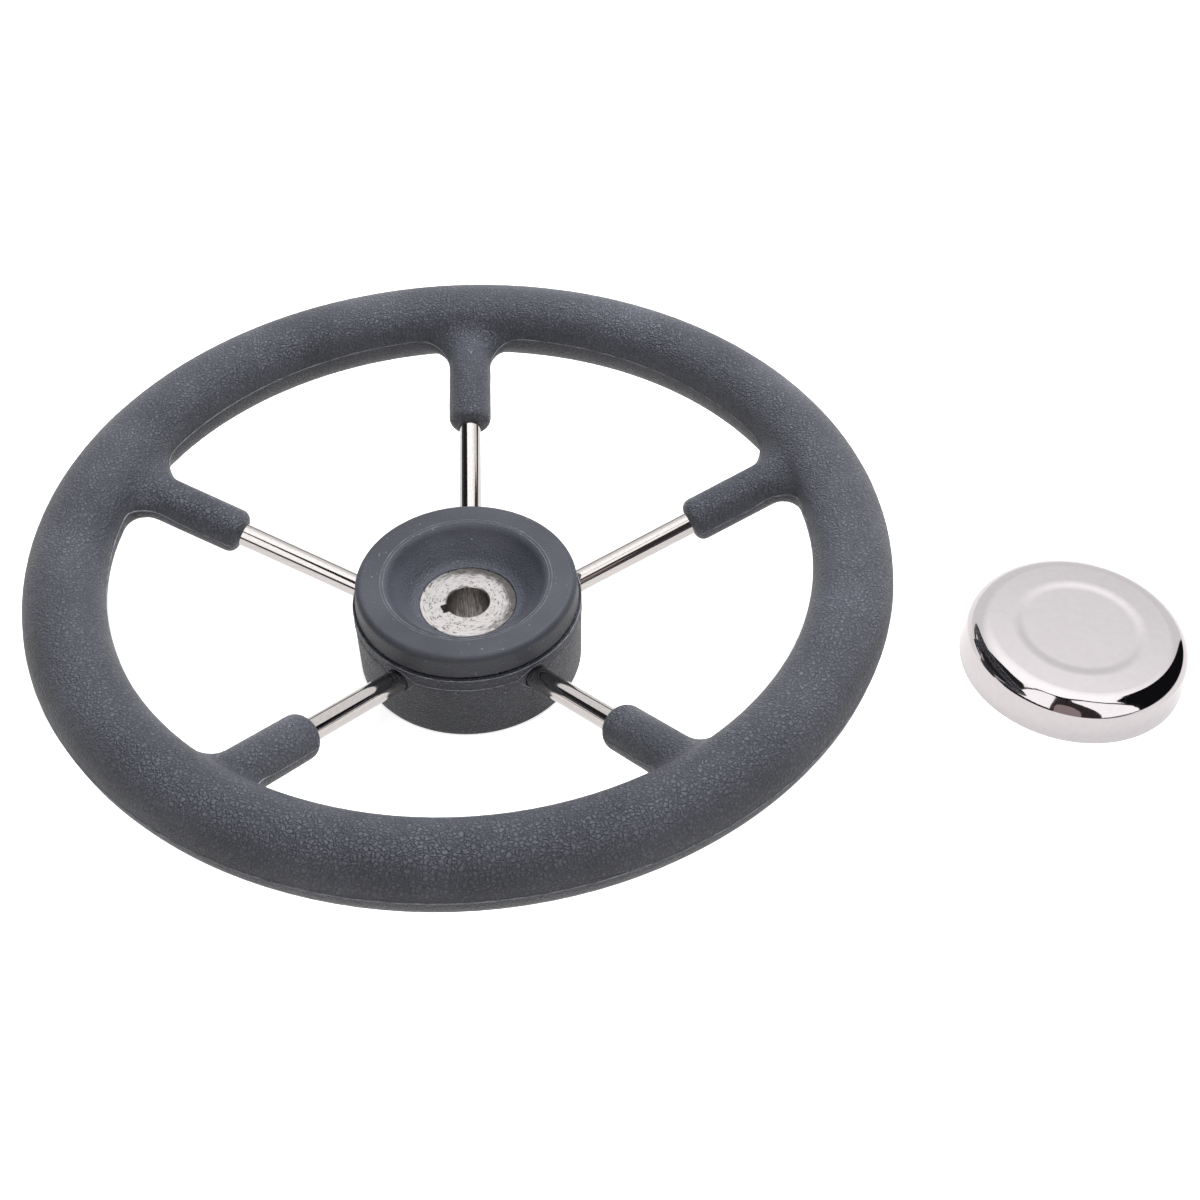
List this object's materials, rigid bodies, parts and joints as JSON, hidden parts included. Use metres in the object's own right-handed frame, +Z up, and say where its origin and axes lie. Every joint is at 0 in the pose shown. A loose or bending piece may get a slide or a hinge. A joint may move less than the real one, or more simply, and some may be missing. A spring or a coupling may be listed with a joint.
{
  "type": "stainless boat steering wheel",
  "caption": "Boat steering wheel: foam-covered rim and hub on straight stainless spokes, a tapered and keyed shaft hole, and a polished centre cap taken off and laid beside it.",
  "frame": {"origin": "centre of the shaft hole at the hub's back face", "axes": "+Z up the shaft hole, out of the wheel's front; +Y over the first spoke; +X towards the cap that lies beside the wheel"},
  "size_m": [0.4757, 0.343, 0.0796],
  "materials": {
    "grip_foam": "grained polyurethane foam skin, satin",
    "hub_foam": "polyurethane foam skin, grained side and smooth ring and dish",
    "spoke_steel": "mirror polished",
    "cap_steel": "mirror polished",
    "boss_steel": "turned face, stained and pitted",
    "bar_steel": "as drawn"
  },
  "bodies": {
    "root": {"rim_grip": "grip_foam", "rim_core": "bar_steel", "hub_cover": "hub_foam", "hub_boss": "boss_steel", "centre_cap": "cap_steel", "spoke_1": "spoke_steel", "spoke_2": "spoke_steel", "spoke_3": "spoke_steel", "spoke_4": "spoke_steel", "spoke_5": "spoke_steel"}
  },
  "joints": []
}
